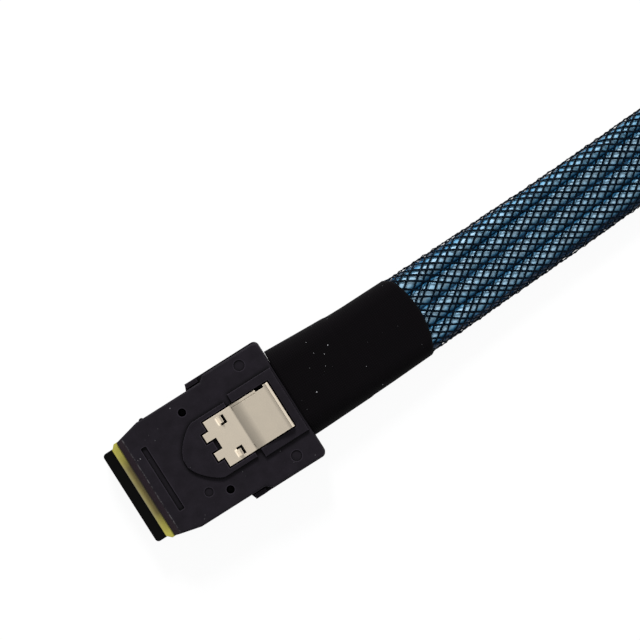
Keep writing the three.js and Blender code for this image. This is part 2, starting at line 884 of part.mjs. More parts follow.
function legPath(leg) {
  const points = [];
  const from = breakout + 2 * fit;
  const to = fanStart + fanLength + plugStagger[leg];
  const steps = 40;
  for (let i = 0; i <= steps; i += 1) {
    points.push(legPlace(leg, blend(from, to, i / steps)));
  }
  return new FlatCablePath(points, () => Math.PI / 2);
}

// Drive plugs, built along +X with the cable's end at the origin, width along Y

function driveGrip() {
  const half = gripWidth / 2;
  const plan = mirrored([
    [0, bootWidth / 2],
    [bootLength, half],
    [gripLength, half],
  ]);
  const thick = gripThickness / 2;
  let grip = raised(plan, -thick, thick, gripBevel).intersect(across([
    [0, -bootThickness / 2],
    [bootLength, -thick],
    [gripLength, -thick],
    [gripLength, thick],
    [bootLength, thick],
    [0, bootThickness / 2],
  ], -half, half));
  const reach = thick + ribHeight;
  for (let i = 0; i < ribCount; i += 1) {
    const x = bootLength + (gripLength - bootLength) / 2 + (i - (ribCount - 1) / 2) * ribPitch;
    grip = grip.add(box(x - ribWidth / 2, x + ribWidth / 2, -ribLength / 2, ribLength / 2,
      -reach, reach));
  }
  const socketHalf = tenonWidth / 2 + fit;
  const socketRise = tenonHeight / 2 + fit;
  return grip.subtract(box(gripLength - tenonLength, gripLength + overcut, -socketHalf,
    socketHalf, -socketRise, socketRise));
}

// Insulator with an L-shaped slot and a row of contact strips on the slot's flat wall
function driveInsulator() {
  const x0 = gripLength + fit;
  const x1 = x0 + insulatorLength;
  let body = along(roundedRectangle(insulatorWidth, insulatorHeight, insulatorCorner), x0, x1,
    insulatorBevel);
  body = body.add(box(x0 - tenonLength + fit, x0 + overcut, -tenonWidth / 2, tenonWidth / 2,
    -tenonHeight / 2, tenonHeight / 2));
  const slotX = x1 - slotDepth;
  const low = -keyHeight / 2;
  const slot = outline([
    [-slotWidth / 2, low],
    [slotWidth / 2, low],
    [slotWidth / 2, low + keyHeight],
    [slotWidth / 2 - keyWidth, low + keyHeight],
    [slotWidth / 2 - keyWidth, low + slotHeight],
    [-slotWidth / 2, low + slotHeight],
  ]);
  body = body.subtract(along(slot, slotX, x1 + overcut));
  for (let i = 0; i < contactCount; i += 1) {
    const y = (i - (contactCount - 1) / 2) * contactPitch - keyWidth / 2;
    body = body.add(box(slotX - contactSink, slotX + contactLength, y - contactWidth / 2,
      y + contactWidth / 2, low - contactSink, low + contactHeight));
  }
  return body;
}

const grip = geometryOf(driveGrip());
const insulator = geometryOf(driveInsulator());

legOrder.forEach((order, leg) => {
  const number = leg + 1;
  const path = legPath(leg);
  addMesh(cable, `leg_cable_${number}`, swept(flatSection(legWidth, legThickness), path, 9),
    finishes.leg);
  const end = path.getPointAt(1);
  const tangent = path.getTangentAt(1);
  const plug = new THREE.Group();
  plug.rotation.set(Math.PI / 2, 0, Math.atan2(tangent.y, tangent.x), 'ZYX');
  plug.position.copy(end).addScaledVector(tangent, 1.5 * fit).setZ(gripZ);
  addMesh(plug, `drive_plug_${number}_grip`, grip, finishes.grip);
  addMesh(plug, `drive_plug_${number}_insulator`, insulator, finishes.insulator);
  cable.add(plug);
});

// Strap that holds the loop closed, wound round the trunk and the legs beside it

// Direction from a circle's middle to the tangent that it shares with the next circle
function tangentAngle(a, b) {
  const run = Math.hypot(b.y - a.y, b.z - a.z);
  return Math.atan2(b.z - a.z, b.y - a.y) - Math.acos((a.radius - b.radius) / run);
}

function woundOutline(circles, distance) {
  const shape = new THREE.Shape();
  circles.forEach((circle, i) => {
    const before = circles[(i + circles.length - 1) % circles.length];
    const after = circles[(i + 1) % circles.length];
    const from = tangentAngle(before, circle);
    let to = tangentAngle(circle, after);
    while (to < from) to += 2 * Math.PI;
    shape.absarc(circle.y, circle.z, circle.radius + distance, from, to, false);
  });
  return shape;
}

function closingStrap() {
  const trunkZ = restingHeight(Math.PI / 2) + tieLift;
  const reach = trunkHalf - trunkHalfThin;
  const innerLegY = loopY - closeOffset + legOrder[3] * legTiedSpacing;
  const legZ = legRestZ + tieLift;
  const legRadius = legThickness / 2;
  const legReach = legWidth / 2 - legRadius;
  const circles = [
    { y: loopY, z: trunkZ - reach, radius: trunkHalfThin },
    { y: loopY, z: trunkZ + reach, radius: trunkHalfThin },
    { y: innerLegY, z: legZ + legReach, radius: legRadius },
    { y: innerLegY, z: legZ - legReach, radius: legRadius },
  ];
  const shape = woundOutline(circles, wrapFit + strapThickness);
  shape.holes.push(woundOutline(circles, wrapFit));
  const x = loopX - closingStraight / 2;
  return along(shape, x - strapWidth / 2, x + strapWidth / 2);
}

addMesh(cable, 'closing_strap', geometryOf(closingStrap()), finishes.strap);

export default cable;
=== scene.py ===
import math

import bpy
import numpy as np
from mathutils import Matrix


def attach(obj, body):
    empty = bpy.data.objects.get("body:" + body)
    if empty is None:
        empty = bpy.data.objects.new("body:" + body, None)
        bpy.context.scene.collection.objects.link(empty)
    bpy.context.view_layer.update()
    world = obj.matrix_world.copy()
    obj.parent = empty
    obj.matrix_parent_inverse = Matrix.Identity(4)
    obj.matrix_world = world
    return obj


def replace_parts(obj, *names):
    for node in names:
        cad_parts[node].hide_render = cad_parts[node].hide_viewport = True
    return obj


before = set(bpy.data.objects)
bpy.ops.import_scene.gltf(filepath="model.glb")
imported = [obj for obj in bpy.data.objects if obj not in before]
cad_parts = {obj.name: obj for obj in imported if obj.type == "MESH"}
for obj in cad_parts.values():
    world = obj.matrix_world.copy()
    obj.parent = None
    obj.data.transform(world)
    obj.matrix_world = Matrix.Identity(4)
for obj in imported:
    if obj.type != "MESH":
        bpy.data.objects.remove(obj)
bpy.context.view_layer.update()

# Lengths are written in millimetres and scaled to metres as each mesh is made
MM = 0.001
BODY = "plug"
random = np.random.default_rng(11)


# Camera: straight above the plug's end of the cable

VIEW_CENTRE = (31.3, 9.65)
VIEW_WIDTH = 123.8
VIEW_TURN = math.radians(-32.34)
PLUG_TOP = 9.0
CAMERA_RISE = 620.0

camera = bpy.data.objects.new("camera", bpy.data.cameras.new("camera"))
camera.data.lens = camera.data.sensor_width * CAMERA_RISE / VIEW_WIDTH
camera.data.clip_start = 0.01
camera.data.clip_end = 20
camera.location = (VIEW_CENTRE[0] * MM, VIEW_CENTRE[1] * MM, (PLUG_TOP + CAMERA_RISE) * MM)
camera.rotation_euler = (0, 0, VIEW_TURN)
bpy.context.collection.objects.link(camera)
bpy.context.scene.camera = camera


# Routes, with the same numbers as the solids

REAR_X = 18.55
TRUNK_WIDTH = 15.8
TRUNK_THICKNESS = 5.6
SLEEVE_LENGTH = 340.0
ROLL_START = 84.5
ROLL_LENGTH = 44.0
GROUND_CLEARANCE = 0.1
WRAP_FIT = 0.45
BAND_WALL = 0.8
BAND_LENGTH = 16.0
STRAP_THICKNESS = 1.3
STRAP_WIDTH = 12.0
STRAP_MARGIN = 4.0
LOOP_X = 162.0
LOOP_Y = 4.6
TRUNK_TURN = 64.0
LEG_TURN = 60.0
CLOSING_STRAIGHT = 13.0
CLOSE_OFFSET = 2 * (TRUNK_TURN - LEG_TURN)
LEG_WIDTH = 6.4
LEG_THICKNESS = 1.9
LEG_STACK_GAP = 0.4
LEG_SPACING = 3.6
LEG_TIED_SPACING = 2.5
FAN_LENGTH = 50.0
PLUG_SPACING = 6.6
FIRST_PLUG_OFFSET = -2.4
PLUG_STAGGER = (-10.0, -3.0, 5.0, 14.0)
GRIP_WIDTH = 14.2
FIT = 0.3
SPREAD_FROM, SPREAD_TO = 10.0, 55.0
UPPER_DROP = (38.0, 90.0)
LOWER_DROP = (8.0, 50.0)
GATHER_LENGTH = 60.0
TIE_RISE = 40.0
BAND_RISE = 60.0
TRUNK_SETTLE = 50.0

TIE_LIFT = WRAP_FIT + STRAP_THICKNESS - GROUND_CLEARANCE
BAND_LIFT = WRAP_FIT + BAND_WALL - GROUND_CLEARANCE
HALF_WIDE = TRUNK_WIDTH / 2
HALF_THIN = TRUNK_THICKNESS / 2

TURNS = (
    (math.pi * TRUNK_TURN, TRUNK_TURN),
    (CLOSING_STRAIGHT, math.inf),
    (math.pi * LEG_TURN, LEG_TURN),
    (CLOSING_STRAIGHT, math.inf),
    (math.inf, TRUNK_TURN - CLOSE_OFFSET),
)
TIE_START = TURNS[0][0] + CLOSING_STRAIGHT + TURNS[2][0]
TIE_FULL = TIE_START - STRAP_MARGIN
FAN_START = TIE_START + CLOSING_STRAIGHT + STRAP_MARGIN
BREAKOUT = SLEEVE_LENGTH - (LOOP_X - REAR_X)

# Trunk from the plug to the loop: distance from the plug, side drift and lift
TRUNK_STRETCH = (
    (0.4, 0.72, 1.5),
    (4, 0.68, 1.5),
    (9, 0.64, 1.47),
    (16, 0.68, 1.4),
    (24, 0.88, 1.3),
    (32, 1.12, 1.1),
    (40, 1.38, 0.74),
    (48, 1.62, 0.42),
    (57, 1.9, 0.15),
    (66, 2.25, 0.03),
    (75, 2.7, 0),
    (84, 3.15, 0),
    (93, 3.6, 0),
    (102, 3.98, 0.15),
    (111, 4.28, 0.55),
    (120, 4.48, 1.1),
    (129, 4.58, 1.55),
    (137, 4.6, 1.65),
)

LEG_FANS_FROM = (0.5, 0.5, -0.5, -0.5)
LEG_STACKS = (1, -1, -1, 1)
LEG_ORDER = (1.5, 0.5, -0.5, -1.5)
GRIP_Z = GRIP_WIDTH / 2
LEG_REST_Z = GROUND_CLEARANCE + LEG_WIDTH / 2
UP = np.array((0.0, 0.0, 1.0))


def smooth(value, start, end):
    share = np.clip((np.asarray(value, float) - start) / (end - start), 0, 1)
    return share * share * (3 - 2 * share)


def mix(a, b, share):
    return a + (b - a) * share


def unit(vectors):
    return vectors / np.linalg.norm(vectors, axis=-1, keepdims=True)


def guide_at(distance):
    x, y, heading, left = LOOP_X, LOOP_Y, 0.0, distance
    for length, radius in TURNS:
        run = min(left, length)
        if radius == math.inf:
            x += run * math.cos(heading)
            y += run * math.sin(heading)
        else:
            centre_x = x + radius * math.sin(heading)
            centre_y = y - radius * math.cos(heading)
            heading -= run / radius
            x = centre_x - radius * math.sin(heading)
            y = centre_y + radius * math.cos(heading)
        left -= run
        if left <= 0:
            break
    return x, y, heading


def roll_at(distance):
    return smooth(distance, ROLL_START, ROLL_START + ROLL_LENGTH) * math.pi / 2


def resting_height(roll):
    return GROUND_CLEARANCE + HALF_THIN + (HALF_WIDE - HALF_THIN) * np.sin(roll)


def loop_place(distance):
    x, y, _ = guide_at(distance)
    lift = TIE_LIFT * (1 - smooth(distance, 0, TRUNK_SETTLE)) + BAND_LIFT * smooth(
        distance, BREAKOUT - BAND_RISE, BREAKOUT - BAND_LENGTH / 2
    )
    return x, y, resting_height(math.pi / 2) + lift


def trunk_points():
    points = [
        (REAR_X + distance, drift, resting_height(roll_at(distance)) + lift)
        for distance, drift, lift in TRUNK_STRETCH
    ]
    return points + [loop_place(BREAKOUT * i / 20) for i in range(21)]


def leg_place(leg, distance):
    x, y, heading = guide_at(distance)
    stacked = LEG_FANS_FROM[leg] * (LEG_THICKNESS + LEG_STACK_GAP)
    loose = LEG_ORDER[leg] * LEG_SPACING
    tied = LEG_ORDER[leg] * LEG_TIED_SPACING
    plug = FIRST_PLUG_OFFSET - leg * PLUG_SPACING
    spread = smooth(distance, BREAKOUT + SPREAD_FROM, BREAKOUT + SPREAD_TO)
    gathered = smooth(distance, TIE_FULL - GATHER_LENGTH, TIE_FULL)
    side = mix(mix(stacked, loose, spread), tied, gathered)
    side = mix(side, plug, smooth(distance, FAN_START, FAN_START + FAN_LENGTH))
    band_z = resting_height(math.pi / 2) + BAND_LIFT
    height = band_z + LEG_STACKS[leg] * (LEG_WIDTH + LEG_STACK_GAP) / 2
    drop_from, drop_to = UPPER_DROP if LEG_STACKS[leg] > 0 else LOWER_DROP
    height = mix(height, LEG_REST_Z, smooth(distance, BREAKOUT + drop_from, BREAKOUT + drop_to))
    height = mix(height, LEG_REST_Z + TIE_LIFT, smooth(distance, TIE_FULL - TIE_RISE, TIE_FULL))
    fan_end = FAN_START + FAN_LENGTH + PLUG_STAGGER[0]
    height = mix(height, GRIP_Z, smooth(distance, FAN_START, fan_end))
    return x - side * math.sin(heading), y + side * math.cos(heading), height


def leg_points(leg):
    start = BREAKOUT + 2 * FIT
    end = FAN_START + FAN_LENGTH + PLUG_STAGGER[leg]
    return [leg_place(leg, mix(start, end, i / 40)) for i in range(41)]


class Route:
    """A smooth line through points, read by distance along it."""

    def __init__(self, points, roll):
        points = np.array(points, float)
        first = 2 * points[0] - points[1]
        last = 2 * points[-1] - points[-2]
        line = np.vstack((first, points, last))
        dense = []
        share = np.linspace(0, 1, 24, endpoint=False)[:, None]
        for p0, p1, p2, p3 in zip(line, line[1:], line[2:], line[3:]):
            d0, d1, d2 = (np.linalg.norm(b - a) ** 0.5 for a, b in ((p0, p1), (p1, p2), (p2, p3)))
            t1 = ((p1 - p0) / d0 - (p2 - p0) / (d0 + d1) + (p2 - p1) / d1) * d1
            t2 = ((p2 - p1) / d1 - (p3 - p1) / (d1 + d2) + (p3 - p2) / d2) * d1
            cubic = 2 * p1 - 2 * p2 + t1 + t2
            square = -3 * p1 + 3 * p2 - 2 * t1 - t2
            dense.append(p1 + t1 * share + square * share**2 + cubic * share**3)
        dense.append(points[-1:])
        self.points = np.vstack(dense)
        self.tangents = unit(np.gradient(self.points, axis=0))
        steps = np.linalg.norm(np.diff(self.points, axis=0), axis=1)
        self.distances = np.concatenate(([0], np.cumsum(steps)))
        self.length = self.distances[-1]
        self.roll = roll

    def _read(self, table, distance):
        return np.stack(
            [np.interp(distance, self.distances, table[:, i]) for i in range(3)], axis=-1
        )

    def frames(self, distance):
        """Centres, side directions and face directions at these distances."""
        distance = np.asarray(distance, float)
        beyond = distance - np.clip(distance, 0, self.length)
        tangent = unit(self._read(self.tangents, distance))
        centre = self._read(self.points, distance) + tangent * beyond[..., None]
        level = unit(np.cross(UP, tangent))
        upright = np.cross(tangent, level)
        roll = np.asarray(self.roll(distance))[..., None]
        side = level * np.cos(roll) + upright * np.sin(roll)
        face = upright * np.cos(roll) - level * np.sin(roll)
        return centre, side, face

    def place(self, distance, across, rise):
        centre, side, face = self.frames(distance)
        return centre + side * np.asarray(across)[..., None] + face * np.asarray(rise)[..., None]


def on_edge(distance):
    return np.full(np.shape(distance), math.pi / 2)


trunk = Route(trunk_points(), roll_at)
legs = [Route(leg_points(leg), on_edge) for leg in range(4)]


# Mesh helpers


def add_object(name, points, faces, material, uv=None, smooth_shade=True):
    mesh = bpy.data.meshes.new(name)
    points = np.asarray(points, float).reshape(-1, 3) * MM
    mesh.from_pydata(points.tolist(), [], np.asarray(faces).tolist())
    if uv is not None:
        layer = mesh.uv_layers.new(name="cloth")
        corners = np.asarray(faces).ravel()
        layer.data.foreach_set("uv", (np.asarray(uv).reshape(-1, 2)[corners] * MM).ravel())
    mesh.materials.append(material)
    mesh.polygons.foreach_set("use_smooth", [smooth_shade] * len(mesh.polygons))
    mesh.update()
    obj = bpy.data.objects.new(name, mesh)
    bpy.context.collection.objects.link(obj)
    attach(obj, BODY)
    return obj


def ring_faces(rings, sides, closed_path=False, start=0):
    """Quads between rings of points, each ring closed on itself."""
    last = rings if closed_path else rings - 1
    i = np.arange(last)[:, None]
    j = np.arange(sides)[None, :]
    after = (i + 1) % rings
    beside = (j + 1) % sides
    a, b = i * sides + j, i * sides + beside
    c, d = after * sides + beside, after * sides + j
    return np.stack((a, b, c, d), axis=-1).reshape(-1, 4) + start


def stadium(distance, half_straight, radius):
    """Point and outward direction at a distance round a flat outline with round ends."""
    half_turn = math.pi * radius
    along = np.mod(distance + half_straight, 4 * half_straight + 2 * half_turn)
    far = 2 * half_straight
    low = far + half_turn
    near = low + far
    cap_a = np.clip((along - far) / radius, 0, math.pi)
    cap_b = np.clip((along - near) / radius, 0, math.pi)
    flat = np.where(along < far, along - half_straight, half_straight)
    flat = np.where(along > low, half_straight - np.minimum(along - low, far), flat)
    out = np.where(along > near, -np.sin(cap_b), np.sin(cap_a))
    up = np.where(along > near, -np.cos(cap_b), np.cos(cap_a))
    return flat + radius * out, radius * up, out, up


# Materials

BEVEL_SAMPLES = 6
AO_SAMPLES = 8
# Reaches of the masks for painted edge highlights and painted crevice shade
RIM_REACH = 0.3
CREVICE_SHADE_REACH = 0.9


class Shade:
    """A material with its Principled shader, and short ways to add nodes to it."""

    def __init__(self, name, colour, roughness, metallic=0.0, specular=0.5):
        self.material = bpy.data.materials.new(name)
        self.material.use_nodes = True
        self.tree = self.material.node_tree
        self.shader = self.tree.nodes["Principled BSDF"]
        self.shader.inputs["Base Color"].default_value = (*colour, 1)
        self.shader.inputs["Roughness"].default_value = roughness
        self.shader.inputs["Metallic"].default_value = metallic
        self.shader.inputs["Specular IOR Level"].default_value = specular
        self.normal = None
        self.coordinates = None

    def add(self, kind, inputs=None, **settings):
        node = self.tree.nodes.new("ShaderNode" + kind)
        for key, value in settings.items():
            setattr(node, key, value)
        for key, value in (inputs or {}).items():
            if isinstance(value, bpy.types.NodeSocket):
                self.tree.links.new(value, node.inputs[key])
            else:
                node.inputs[key].default_value = value
        return node

    def set(self, socket, value):
        self.tree.links.new(value, self.shader.inputs[socket])

    def place(self, kind="Object"):
        if self.coordinates is None:
            self.coordinates = self.add("TexCoord")
        return self.coordinates.outputs[kind]

    def noise(self, scale, detail=3.0, roughness=0.5, kind="Object", stretch=None):
        vector = self.place(kind)
        if stretch is not None:
            vector = self.add("Mapping", {"Vector": vector, "Scale": stretch}).outputs[0]
        values = {"Vector": vector, "Scale": scale, "Detail": detail, "Roughness": roughness}
        return self.add("TexNoise", values).outputs["Fac"]

    def ramp(self, value, stops):
        node = self.add("ValToRGB", {"Fac": value})
        ramp = node.color_ramp
        while len(ramp.elements) < len(stops):
            ramp.elements.new(0.5)
        for element, (place, colour) in zip(ramp.elements, stops):
            element.position = place
            shade = colour if hasattr(colour, "__len__") else (colour,) * 3
            element.color = (*shade, 1)
        return node.outputs["Color"]

    def blend(self, share, a, b, kind="MIX"):
        node = self.add("Mix", data_type="RGBA", blend_type=kind)
        sockets = {"Factor": 0, "A": 6, "B": 7}
        for key, value in (("Factor", share), ("A", a), ("B", b)):
            socket = node.inputs[sockets[key]]
            if isinstance(value, bpy.types.NodeSocket):
                self.tree.links.new(value, socket)
            elif hasattr(value, "__len__"):
                socket.default_value = (*value, 1)
            else:
                socket.default_value = value
        return node.outputs[2]

    def maths(self, operation, *values):
        node = self.add("Math", operation=operation)
        for socket, value in zip(node.inputs, values):
            if isinstance(value, bpy.types.NodeSocket):
                self.tree.links.new(value, socket)
            else:
                socket.default_value = value
        return node.outputs[0]

    def axis(self, name):
        return self.add("SeparateXYZ", {"Vector": self.place()}).outputs[name]

    def share(self, value, start, end):
        """0 to 1 as a length goes from start to end, in millimetres."""
        values = {"Value": value, "From Min": start * MM, "From Max": end * MM}
        return self.add("MapRange", values).outputs[0]

    def away(self, value, place):
        """Distance of a coordinate from a place, either way."""
        return self.maths("ABSOLUTE", self.maths("SUBTRACT", value, place * MM))

    def rim(self, full, none):
        """1 on outer edges, 0 on flat faces, between two levels of inside occlusion."""
        values = {"Distance": RIM_REACH * MM}
        edge = self.add("AmbientOcclusion", values, samples=AO_SAMPLES, inside=True)
        return self.ramp(edge.outputs["AO"], ((full, 1.0), (none, 0.0)))

    def soften(self, radius):
        """Rounds the look of sharp edges without changing the mesh."""
        values = {"Radius": radius * MM}
        self.normal = self.add("Bevel", values, samples=BEVEL_SAMPLES).outputs[0]
        self.set("Normal", self.normal)

    def bump(self, height, depth):
        values = {"Height": height, "Distance": depth * MM, "Strength": 1.0}
        if self.normal is not None:
            values["Normal"] = self.normal
        self.normal = self.add("Bump", values).outputs[0]
        self.set("Normal", self.normal)


def tint(colour, factor):
    return tuple(min(1.0, c * factor) for c in colour)


DUST = (0.42, 0.41, 0.42)
# Pale speckled line across the shell
PALE_LINE = (0.1, 0.095, 0.1)
# Painted sheen on the shell's front bevel
PAINTED_BEVEL_SHEEN = (0.02, 0.013, 0.0175)


def moulded(name, colour, roughness, specular, edge=0.12, grain=0.004, dust=0.0, tone_marks=None):
    """Moulded plastic: painted edge highlights and crevice shade, fine grain, mottling, a little
    dust.

    The last setting: x of a pale speckled line across it, and x before which it has painted sheen.
    """
    shade = Shade(name, colour, roughness, specular=specular)
    if edge:
        shade.soften(edge)
    shade.bump(shade.noise(5200, 2.0), grain)
    mottle = shade.ramp(shade.noise(420, 5.0, 0.65), ((0.3, 0.0), (0.7, 1.0)))
    base = shade.blend(mottle, tint(colour, 0.78), tint(colour, 1.25))
    if dust:
        specks = shade.ramp(shade.noise(1900, 2.0, 0.4), ((0.735, 0.0), (0.775, 1.0)))
        patches = shade.ramp(shade.noise(150, 2.0), ((0.5, 0.0), (0.68, 1.0)))
        share = shade.maths("MULTIPLY", shade.maths("MULTIPLY", specks, patches), dust)
        base = shade.blend(share, base, DUST)
    if tone_marks is not None:
        pale_line_x, front = tone_marks
        x = shade.axis("X")
        # Painted sheen on the front bevel, paler than the top
        base = shade.blend(shade.share(x, front + 0.1, front - 0.1), base, PAINTED_BEVEL_SHEEN)
        # A pale speckled line across the piece at the edge of the front bevel
        line = shade.share(shade.away(x, pale_line_x), 0.16, 0.03)
        line_specks = shade.ramp(shade.noise(1300, 3.0, 0.6), ((0.42, 0.0), (0.62, 1.0)))
        base = shade.blend(shade.maths("MULTIPLY", line, line_specks), base, PALE_LINE)
    if edge:
        # Painted highlight on outer edges, and painted shade in crevices and at the feet of raised
        # parts
        base = shade.blend(shade.rim(0.5, 0.9), base, tint(colour, 3.2))
        crevice_shade = shade.add("AmbientOcclusion", {"Distance": CREVICE_SHADE_REACH * MM}, samples=AO_SAMPLES)
        crevice_shade = shade.ramp(crevice_shade.outputs["AO"], ((0.5, 0.02), (0.96, 1.0)))
        base = shade.blend(1.0, base, crevice_shade, "MULTIPLY")
    shade.set("Base Color", base)
    gloss = shade.noise(260, 4.0, 0.6)
    shade.set("Roughness", shade.maths("MULTIPLY_ADD", gloss, 0.25, roughness - 0.12))
    return shade.material


LINT = (0.5, 0.5, 0.52)


def cloth(name, colour, pitch, depth, roughness=0.9, fuzz=0.25, dust=0.0):
    """Plain weave that follows the piece's own length and girth."""
    shade = Shade(name, colour, roughness, specular=0.035)
    shade.shader.inputs["Sheen Weight"].default_value = fuzz
    shade.shader.inputs["Sheen Roughness"].default_value = 0.45
    uv = shade.place("UV")
    threads = []
    for axis in ("X", "Y"):
        values = {"Vector": uv, "Scale": math.pi / (10 * pitch * MM), "Distortion": 0.6,
                  "Detail": 1.0, "Detail Scale": 3.0}
        wave = shade.add("TexWave", values, wave_type="BANDS", bands_direction=axis)
        threads.append(wave.outputs["Fac"])
    weave = shade.maths("MULTIPLY", *threads)
    shade.bump(weave, depth)
    tone_marks = shade.noise(330, 4.0, 0.6, "UV")
    tone = shade.maths("MULTIPLY", weave, shade.maths("ADD", tone_marks, 0.4))
    base = shade.blend(tone, tint(colour, 0.62), tint(colour, 1.5))
    if dust:
        specks = shade.ramp(shade.noise(1500, 1.0, 0.3, "UV"), ((0.79, 0.0), (0.815, 1.0)))
        base = shade.blend(shade.maths("MULTIPLY", specks, dust), base, LINT)
    shade.set("Base Color", base)
    return shade.material


# The latch's two hooks: middle of each in x and |y|
HOOK_X = 4.3
HOOK_Y = 3.6


def sheet_metal():
    """Pale nickel on spring steel: fine rolling marks, painted highlights, painted reflections."""
    colour = (0.41, 0.365, 0.3)
    shade = Shade("latch_nickel", colour, 0.38, metallic=1.0)
    shade.soften(0.1)
    marks = shade.noise(900, 3.0, 0.6, stretch=(9.0, 0.5, 1.0))
    shade.bump(marks, 0.0025)
    cloud = shade.noise(300, 4.0, 0.6)
    x = shade.axis("X")
    # Painted reflections along the latch: dark behind the bend and before the lip, bright on the
    # lip
    painted_reflection = shade.ramp(shade.share(x, 6, 16), (
        (0.14, 0.96), (0.175, 0.54), (0.3, 0.68), (0.42, 0.97), (0.9, 0.97), (0.96, 0.68),
        (0.99, 1.1)))
    base = shade.blend(cloud, tint(colour, 0.9), tint(colour, 1.06))
    # Painted highlight on the edges
    base = shade.blend(shade.rim(0.3, 0.7), base, tint(colour, 1.4))
    base = shade.blend(1.0, base, painted_reflection, "MULTIPLY")
    # The two hooks catch the light where they bend down out of the plate
    near_x = shade.share(shade.away(x, HOOK_X), 0.6, 0.3)
    near_y = shade.share(shade.away(shade.maths("ABSOLUTE", shade.axis("Y")), HOOK_Y), 0.95, 0.6)
    hooks = shade.maths("MULTIPLY", near_x, near_y)
    shade.set("Base Color", shade.blend(hooks, base, tint(colour, 1.9)))
    shade.set("Roughness", shade.maths("MULTIPLY_ADD", cloud, 0.2, 0.55))
    return shade.material


def gold():
    shade = Shade("contact_gold", (0.83, 0.58, 0.2), 0.25, metallic=1.0)
    shade.bump(shade.noise(2500, 2.0), 0.002)
    cloud = shade.noise(700, 2.0)
    shade.set("Base Color", shade.blend(cloud, (0.74, 0.5, 0.16), (0.88, 0.64, 0.26)))
    return shade.material


def plate_plastic():
    """Yellow-olive plate: painted light on the nose side, painted shade by the housing, paler
    ends.
    """
    shade = Shade("plate_plastic", (0.42, 0.38, 0.055), 0.5, specular=0.35)
    shade.soften(0.15)
    # Painted light towards the nose side and painted shade towards the housing
    tone = shade.ramp(shade.share(shade.axis("X"), -16.4, -14.8), (
        (0.0, (0.18, 0.16, 0.09)), (0.25, (0.165, 0.14, 0.042)), (0.6, (0.07, 0.052, 0.007)),
        (1.0, (0.04, 0.031, 0.006))))
    # Paler towards both ends
    ends = shade.share(shade.maths("ABSOLUTE", shade.axis("Y")), 5, 10)
    tone = shade.blend(ends, tone, (0.34, 0.31, 0.045))
    cloud = shade.ramp(shade.noise(500, 4.0, 0.6), ((0.25, 0.78), (0.75, 1.1)))
    shade.set("Base Color", shade.blend(1.0, tone, cloud, "MULTIPLY"))
    shade.bump(shade.noise(3000, 2.0), 0.004)
    return shade.material


def card_laminate():
    shade = Shade("card_laminate", (0.02, 0.11, 0.045), 0.35, specular=0.5)
    shade.soften(0.05)
    cloud = shade.noise(900, 3.0)
    shade.set("Base Color", shade.blend(cloud, (0.014, 0.085, 0.033), (0.03, 0.14, 0.06)))
    shade.bump(shade.noise(3500, 2.0), 0.003)
    return shade.material


# The cables' second texture coordinate, from 0 between ridges to this on their crests
CREST_SPAN = 10.0


def leg_jacket():
    """Blue extruded jacket, soft gloss, painted shade between ridges, painted highlight on crests.
    """
    shade = Shade("leg_jacket", (0.1, 0.25, 0.38), 0.4, specular=0.3)
    shade.bump(shade.noise(600, 2.0), 0.03)
    crest = shade.add("SeparateXYZ", {"Vector": shade.place("UV")}).outputs["Y"]
    height = shade.share(crest, 0, CREST_SPAN)
    cloud = shade.maths("SUBTRACT", shade.noise(330, 4.0, 0.65), 0.5)
    height = shade.maths("ADD", height, shade.maths("MULTIPLY", cloud, 0.7))
    # Painted shade between the ridges, rising to painted highlight on the crests
    shade.set("Base Color", shade.ramp(height, (
        (0.2, (0.001, 0.027, 0.074)), (0.45, (0.02, 0.135, 0.27)), (0.72, (0.12, 0.3, 0.45)),
        (1.0, (0.235, 0.385, 0.5)))))
    return shade.material


def monofilament():
    """Black braid strand with a faint blue cast, slightly uneven."""
    shade = Shade("braid_strand", (0.001, 0.003, 0.006), 0.4, specular=0.03)
    shade.set("Base Color", shade.blend(
        shade.noise(800, 2.0), (0.0002, 0.0016, 0.004), (0.0008, 0.0042, 0.0095)))
    return shade.material


SHELL = moulded(
    "shell_plastic", (0.0078, 0.0064, 0.0088), 0.62, 0.05, dust=0.5, tone_marks=(-13.5, -13.6))
NOSE = moulded("nose_plastic", (0.001, 0.001, 0.0009), 0.3, 0.04, grain=0.0015)
MOULD = moulded("mould_plastic", (0.014, 0.013, 0.014), 0.6, 0.3)
GRIP = moulded("grip_plastic", (0.0085, 0.0085, 0.0095), 0.52, 0.3, edge=0.2)
INSULATOR = moulded("insulator_plastic", (0.0055, 0.0055, 0.006), 0.42, 0.3, edge=0.15)
BAND = moulded("band_rubber", (0.0065, 0.0065, 0.007), 0.55, 0.25, edge=0, grain=0.01)
PLATE = plate_plastic()
CARD = card_laminate()
LATCH = sheet_metal()
GOLD = gold()
JACKET = leg_jacket()
STRAND = monofilament()
TAPE = cloth("tape_cloth", (0.002, 0.0015, 0.002), 0.42, 0.03, fuzz=0.02, dust=0.6)
STRAP = cloth("strap_cloth", (0.0075, 0.0075, 0.0085), 0.6, 0.08, fuzz=0.5)

node_materials = {
    "upper_shell": SHELL,
    "lower_shell": SHELL,
    "nose_shroud": NOSE,
    "insulator_plate": PLATE,
    "paddle_card": CARD,
    "wire_mould": MOULD,
    "release_latch": LATCH,
}
for number in range(1, 5):
    node_materials[f"drive_plug_{number}_grip"] = GRIP
    node_materials[f"drive_plug_{number}_insulator"] = INSULATOR
for name, material in node_materials.items():
    for material_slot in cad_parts[name].material_slots:
        material_slot.material = material


# Flat cables: side by side in two layers in the trunk, then apart as the legs

